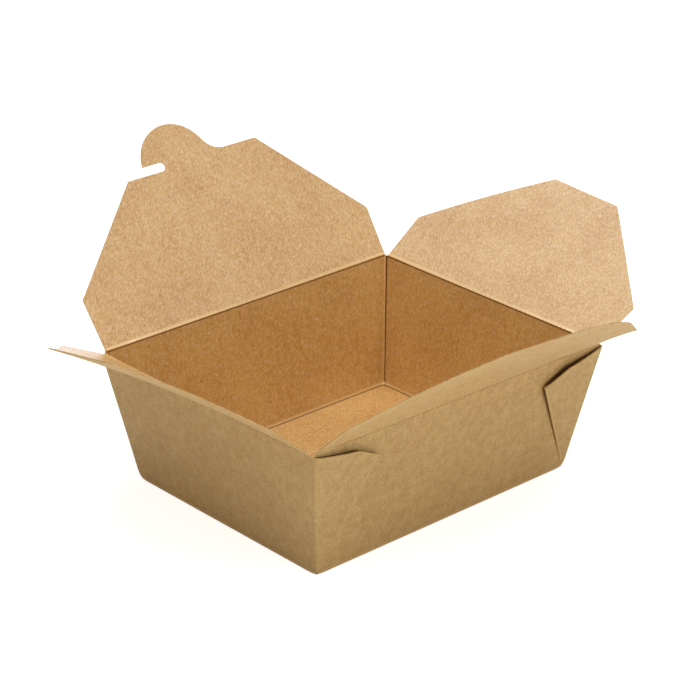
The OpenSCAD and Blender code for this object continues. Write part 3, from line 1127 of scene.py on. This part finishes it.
def wear_and_shade_group():
    """Masks of painted light and of wear: a crease's pale side, partly scored board and partly painted
    highlight, its dark side of painted shade, the painted shadow round a web and a worn cut edge.
    """
    distances = ("Pale Place", "Dark Place", "Web Shadow Distance", "Cut Distance")
    inputs = {**dict.fromkeys(distances, UNMARKED), "Streaks": 0.5}
    outputs = ("Pale Side", "Dark Side", "Web Shadow", "Worn Edge")
    tree, (pale_place, dark_place, shut, cut, streaks) = group_tree("Painted crease light and edge wear", inputs, outputs)
    masks = {
        "Pale Side": fade(tree, pale_place, PALE_FADE),
        "Dark Side": fade(tree, dark_place, DARK_FADE),
        "Web Shadow": fade(tree, shut, WEB_SHADOW_FADE),
        "Worn Edge": times(tree, fade(tree, cut, CUT_FADE), ramp(tree, streaks, WORN_SPAN, WORN_LEAST)),
    }
    add_node(tree, "NodeGroupOutput", masks)
    return tree


def new_surface(name):
    """A new material, its node tree and its shader."""
    material = bpy.data.materials.new(name)
    material.use_nodes = True
    tree = material.node_tree
    return material, tree, tree.nodes["Principled BSDF"]


def pulp_masks(tree, group, length, width, cloud):
    """What a pulp group gives on the flat sheet, for its fibres' length and width and its clouds' size."""
    sheet = add_node(tree, "ShaderNodeUVMap", uv_map="flat").outputs[0]
    inputs = {"Sheet": sheet, "Fibre Length": length, "Fibre Width": width, "Cloud Size": cloud}
    return add_node(tree, "ShaderNodeGroup", inputs, node_tree=group).outputs


def board_material(name, groups, finish, look):
    """Kraft board: a colour varied by clouds, streaks and flecks, with painted shade and highlight at folds,
    painted shadow beside the webs, worn edges and relief.
    """
    material, tree, bsdf = new_surface(name)
    pulp = pulp_masks(tree, groups["pulp"], finish.streak_length, finish.streak_width, finish.cloud_size)
    pale_place, dark_place, shut, cut = (
        add_node(tree, "ShaderNodeAttribute", attribute_name=key).outputs["Fac"] for key in MARKS
    )
    places = {
        "Pale Place": pale_place,
        "Dark Place": dark_place,
        "Web Shadow Distance": shut,
        "Cut Distance": cut,
        "Streaks": pulp["Streaks"],
    }
    wear_and_shade = add_node(tree, "ShaderNodeGroup", places, node_tree=groups["wear_and_shade"]).outputs
    base = np.array(look.colour)
    mottle = np.array(look.mottle)
    cloudy = ramp(tree, pulp["Clouds"], CLOUD_SPAN, 0.0, look.cloud_share)
    streaky = ramp(tree, pulp["Streaks"], STREAK_SPAN, 0.0, 1 - look.cloud_share)
    drift = ramp(tree, pulp["Patches"], MIDDLE_SPAN, -look.drift, look.drift)
    tone = plus(tree, plus(tree, cloudy, streaky), drift)
    deep = linear(base * (1 - DEEP_SHARE * mottle))
    paint = mixed(tree, tone, deep, linear(base * (1 + PALE_SHARE * mottle)))
    scored_highlight = base * (1 - SCORED_HIGHLIGHT_SHARE) + SCORED_HIGHLIGHT_SHARE * np.array(finish.scored_and_highlight_colour)
    fleck = base * (1 - FLECK_SHARE) + FLECK_SHARE * np.array(FLECK_COLOUR)
    for mask, share, colour in (
        (pulp["Flecks"], look.flecks, fleck),
        (pulp["Specks"], SPECK_SHARE, finish.speck_colour),
        # Painted shade in creases and corners
        (wear_and_shade["Dark Side"], look.crease_dark, base * np.array(PAINTED_SHADE_TINT)),
        # Partly paler scored board and partly a painted highlight on the folds
        (wear_and_shade["Pale Side"], look.crease_pale, scored_highlight),
        # Painted shadow that a web casts on the wall beside it
        (wear_and_shade["Web Shadow"], look.shut, base * np.array(WEB_SHADOW_TINT)),
        (wear_and_shade["Worn Edge"], look.worn_edge, finish.edge_colour),
    ):
        paint = mixed(tree, times(tree, mask, share), paint, linear(colour))
    feed(tree, bsdf.inputs["Base Color"], paint)
    smoothest, roughest = look.roughness - ROUGH_SPREAD, look.roughness + ROUGH_SPREAD
    feed(tree, bsdf.inputs["Roughness"], ramp(tree, pulp["Clouds"], MIDDLE_SPAN, smoothest, roughest))
    streak_height = times(tree, pulp["Streaks"], STREAK_HEIGHT)
    add_relief(tree, bsdf, plus(tree, streak_height, times(tree, pulp["Clouds"], CLOUD_HEIGHT)), look.relief)
    if look.coat:
        # The glaze is thinner on the dark fibres, and left off where the crease's painted shade lies
        glaze = ramp(tree, tone, MIDDLE_SPAN, look.coat * THIN_GLAZE, look.coat)
        kept = fade(tree, times(tree, wear_and_shade["Dark Side"], look.crease_dark), GLAZE_FADE)
        feed(tree, bsdf.inputs["Coat Weight"], times(tree, glaze, kept))
        bsdf.inputs["Coat Roughness"].default_value = COAT_ROUGHNESS
        bsdf.inputs["Coat IOR"].default_value = COAT_IOR
    return material


def add_relief(tree, bsdf, height, strength):
    """Bumps a shader's normal by a height."""
    inputs = {"Height": height, "Strength": strength, "Distance": RELIEF_DEPTH}
    feed(tree, bsdf.inputs["Normal"], add_node(tree, "ShaderNodeBump", inputs).outputs[0])


def edge_material(name, groups, finish):
    """Cut edge of the board: pale torn fibres, rough and matte, and painted in shade where it lies in a
    crease's groove, in a corner's curl or between a web's layers.
    """
    material, tree, bsdf = new_surface(name)
    pulp = pulp_masks(tree, groups["pulp"], *EDGE_FIBRES)
    base = np.array(finish.edge_colour)
    shade = ramp(tree, pulp["Streaks"], WORN_SPAN)
    paint = mixed(tree, shade, linear(base * EDGE_DEEP), linear(base * EDGE_PALE))
    # Painted shade on the cut edges in a crease's groove, a corner's curl or between a web's layers
    dark_place = add_node(tree, "ShaderNodeAttribute", attribute_name="dark").outputs["Fac"]
    paint = mixed(tree, fade(tree, dark_place, EDGE_FADE), paint, linear(base * EDGE_IN_SHADE))
    feed(tree, bsdf.inputs["Base Color"], paint)
    feed(tree, bsdf.inputs["Roughness"], ramp(tree, pulp["Clouds"], EDGE_SPAN, *EDGE_ROUGHNESS))
    add_relief(tree, bsdf, pulp["Streaks"], EDGE_RELIEF)
    return material


def board_materials(context):
    """The board's three finishes, made once: inner face, outer face and cut edge."""
    names = ("Board inside", "Board outside", "Board cut edge")
    if names[0] not in bpy.data.materials:
        finish = context.scene.takeaway_finish
        groups = {"pulp": pulp_group(), "wear_and_shade": wear_and_shade_group()}
        inside = SimpleNamespace(
            colour=finish.inside_colour,
            roughness=finish.inside_roughness,
            coat=finish.inside_coat,
            mottle=(0.10, 0.18, 0.34),
            cloud_share=0.36,
            drift=0.1,
            flecks=0.3,
            # Strength of the painted shade in creases, then of the pale bands, partly scored board and
            # partly painted highlight
            crease_dark=0.8,
            crease_pale=1.0,
            shut=0.0,
            worn_edge=0.08,
            relief=0.3,
        )
        outside = SimpleNamespace(
            colour=finish.outside_colour,
            roughness=finish.outside_roughness,
            coat=0.0,
            mottle=(0.09, 0.16, 0.26),
            cloud_share=0.5,
            drift=0.06,
            flecks=0.12,
            crease_dark=0.0,
            crease_pale=0.6,
            # Strength of the painted shadow beside the webs
            shut=0.75,
            worn_edge=0.05,
            relief=0.25,
        )
        board_material(names[0], groups, finish, inside)
        board_material(names[1], groups, finish, outside)
        edge_material(names[2], groups, finish)
    return [bpy.data.materials[name] for name in names]


def make_flaps(context, outline, crease, flat_from, flaps):
    """Builds the flaps of one outline, each given as its body, node, angle, bend and turn about Z."""
    m = measures(context)
    materials = board_materials(context)
    for body, node, angle, bend, turn in flaps:
        name = body + "_board"
        made = flap_object(name, m, outline, crease, angle, bend, turn, flat_from, materials)
        dress_flap(made, body, node)


def dress_flap(made, body, node):
    """Ties a flap to its body, hides the CAD part that it stands for and gives it a mesh of its own."""
    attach(made, body)
    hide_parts(node)
    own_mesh(made)


def seen_rays(tree):
    """1 for rays from the camera, by way of a mirror or through glass too, and 0 for the rays that light."""
    path = add_node(tree, "ShaderNodeLightPath").outputs
    seen = math_node(tree, "MAXIMUM", path["Is Camera Ray"], path["Is Glossy Ray"])
    return math_node(tree, "MAXIMUM", seen, path["Is Transmission Ray"])


def placed(place, right, up, back):
    """Matrix that puts an object at a place, with its local axes along right, up and back."""
    turn = Matrix([list(row) for row in np.stack([right, up, back], 1)]).to_4x4()
    return Matrix.Translation(place) @ turn


class TAKEAWAY_OT_tray(Operator):
    """Build the tray: base, hook walls, end walls and the four folded corner webs"""

    bl_idname = "takeaway.make_tray"
    bl_label = "Tray"

    def execute(self, context):
        m = measures(context)
        tight, slack = (web_panel(m, spring) for spring in m.web_springs)
        rear = [half_trough(m), end_panel(m), tight, mirrored(slack)]
        panels = rear + [turned(p) for p in rear]
        for p in panels:
            p.points = racked(m, foot_rounded(m, p.points))
        solid = joined([thickened(p) for p in panels])
        tray = board_object("tray_board", solid, board_materials(context))
        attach(tray, "box")
        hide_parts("tray")
        return {"FINISHED"}


class TAKEAWAY_OT_hook_flaps(Operator):
    """Build the two hook flaps that lock into each other"""

    bl_idname = "takeaway.make_hook_flaps"
    bl_label = "Hook flaps"

    def execute(self, context):
        m = measures(context)
        f = context.scene.takeaway_flaps
        flaps = (
            ("rear_hook", "hook_flap_rear", f.rear_angle, f.rear_bend, 0.0),
            ("front_hook", "hook_flap_front", f.front_angle, f.front_bend, math.pi),
        )
        make_flaps(context, hook_outline(m, f), (m.hook_y, m.hook_z), m.half_w + m.hook_slant, flaps)
        return {"FINISHED"}


class TAKEAWAY_OT_end_flaps(Operator):
    """Build the two end flaps that close under the hook flaps"""

    bl_idname = "takeaway.make_end_flaps"
    bl_label = "End flaps"

    def execute(self, context):
        m = measures(context)
        f = context.scene.takeaway_flaps
        flaps = (
            ("left_end", "end_flap_left", f.left_angle, f.left_bend, math.pi / 2),
            ("right_end", "end_flap_right", f.right_angle, f.right_bend, -math.pi / 2),
        )
        make_flaps(context, end_outline(m, f), (m.end_x, m.end_z), m.half_l + m.end_slant, flaps)
        return {"FINISHED"}


class TAKEAWAY_OT_studio(Operator):
    """Set the camera, the plain white floor and the soft light"""

    bl_idname = "takeaway.make_studio"
    bl_label = "Studio"

    def execute(self, context):
        s = context.scene.takeaway_studio
        scene = context.scene
        scene.view_settings.view_transform = "Standard"
        self.add_camera(scene, s)
        self.add_floor(scene)
        self.add_world(scene, s)
        # Place and size in metres
        for name, place, size, power in (
            ("Top light", (0.0, -0.15, 1.7), 1.5, s.top_power),
            ("Front light", (0.15, -1.9, 0.65), 1.2, s.front_power),
            ("Left light", (-1.9, 0.0, 1.0), 1.4, s.left_power),
            ("Rear light", (0.0, 1.35, 1.45), 1.4, s.rear_power),
        ):
            self.add_light(scene, name, place, size, power)
        return {"FINISHED"}

    def add_camera(self, scene, s):
        a, e, r = s.camera_azimuth, s.camera_elevation, s.camera_roll
        back = np.array([math.sin(a) * math.cos(e), -math.cos(a) * math.cos(e), math.sin(e)])
        right = np.array([math.cos(a), math.sin(a), 0])
        up = np.cross(back, right)
        rolled_right = math.cos(r) * right + math.sin(r) * up
        rolled_up = math.cos(r) * up - math.sin(r) * right
        data = bpy.data.cameras.new("Camera")
        data.sensor_width = FRAME_WIDTH
        data.lens = s.lens
        camera = bpy.data.objects.new("Camera", data)
        camera.matrix_world = placed(s.camera_place, rolled_right, rolled_up, back)
        scene.collection.objects.link(camera)
        scene.camera = camera

    def add_floor(self, scene):
        mesh = bpy.data.meshes.new("floor")
        corners = [(x * FLOOR_HALF, y * FLOOR_HALF, 0) for x, y in ((-1, -1), (1, -1), (1, 1), (-1, 1))]
        mesh.from_pydata(corners, [], [(0, 1, 2, 3)])
        material = bpy.data.materials.new("Studio floor")
        material.use_nodes = True
        tree = material.node_tree
        tree.nodes.clear()
        out = add_node(tree, "ShaderNodeOutputMaterial")
        grey = (FLOOR_GREY, FLOOR_GREY, FLOOR_GREY, 1)
        matte = add_node(tree, "ShaderNodeBsdfDiffuse", {"Color": grey})
        strength = times(tree, seen_rays(tree), FLOOR_GLOW)
        glow = add_node(tree, "ShaderNodeEmission", {"Color": (1, 1, 1, 1), "Strength": strength})
        both = add_node(tree, "ShaderNodeAddShader", {0: matte.outputs[0], 1: glow.outputs[0]})
        feed(tree, out.inputs[0], both.outputs[0])
        mesh.materials.append(material)
        floor = bpy.data.objects.new("floor", mesh)
        scene.collection.objects.link(floor)

    def add_world(self, scene, s):
        world = bpy.data.worlds.new("Studio")
        world.use_nodes = True
        tree = world.node_tree
        background = tree.nodes["Background"]
        background.inputs["Color"].default_value = (1, 1, 1, 1)
        ends = {"Value": seen_rays(tree), "From Min": 0, "From Max": 1, "To Min": s.sky_level, "To Max": 1.0}
        level = add_node(tree, "ShaderNodeMapRange", ends)
        feed(tree, background.inputs["Strength"], level.outputs[0])
        scene.world = world

    def add_light(self, scene, name, place, size, power):
        data = bpy.data.lights.new(name, "AREA")
        data.shape = "SQUARE"
        data.size = size
        data.energy = power
        light = bpy.data.objects.new(name, data)
        back = unit(np.array(place) - np.array(LIGHT_TARGET))
        right = unit(np.cross(ASIDE, back))
        light.matrix_world = placed(place, right, np.cross(back, right), back)
        scene.collection.objects.link(light)


class TAKEAWAY_PT_panel(Panel):
    """Lists the box's pieces and its stage"""

    bl_label = "Takeaway box"
    bl_idname = "TAKEAWAY_PT_panel"
    bl_space_type = "VIEW_3D"
    bl_region_type = "UI"
    bl_category = "Takeaway box"

    def draw(self, context):
        column = self.layout.column()
        for operator in OPERATORS:
            column.operator(operator.bl_idname)


PROPERTY_GROUPS = (
    ("takeaway_sizes", BoxSizes),
    ("takeaway_flaps", FlapShapes),
    ("takeaway_finish", BoardFinish),
    ("takeaway_studio", StudioSettings),
)
OPERATORS = (
    TAKEAWAY_OT_tray,
    TAKEAWAY_OT_hook_flaps,
    TAKEAWAY_OT_end_flaps,
    TAKEAWAY_OT_studio,
)


def register():
    """Registers the classes and hangs the property groups on the scene."""
    for name, group in PROPERTY_GROUPS:
        bpy.utils.register_class(group)
        setattr(bpy.types.Scene, name, PointerProperty(type=group))
    for operator in OPERATORS:
        bpy.utils.register_class(operator)
    bpy.utils.register_class(TAKEAWAY_PT_panel)


def unregister():
    """Undoes register, in reverse."""
    bpy.utils.unregister_class(TAKEAWAY_PT_panel)
    for operator in reversed(OPERATORS):
        bpy.utils.unregister_class(operator)
    for name, group in reversed(PROPERTY_GROUPS):
        delattr(bpy.types.Scene, name)
        bpy.utils.unregister_class(group)


def main():
    """Registers the add-on and builds every piece in order."""
    register()
    bpy.ops.takeaway.make_tray()
    bpy.ops.takeaway.make_hook_flaps()
    bpy.ops.takeaway.make_end_flaps()
    bpy.ops.takeaway.make_studio()


if __name__ == "__main__":
    main()
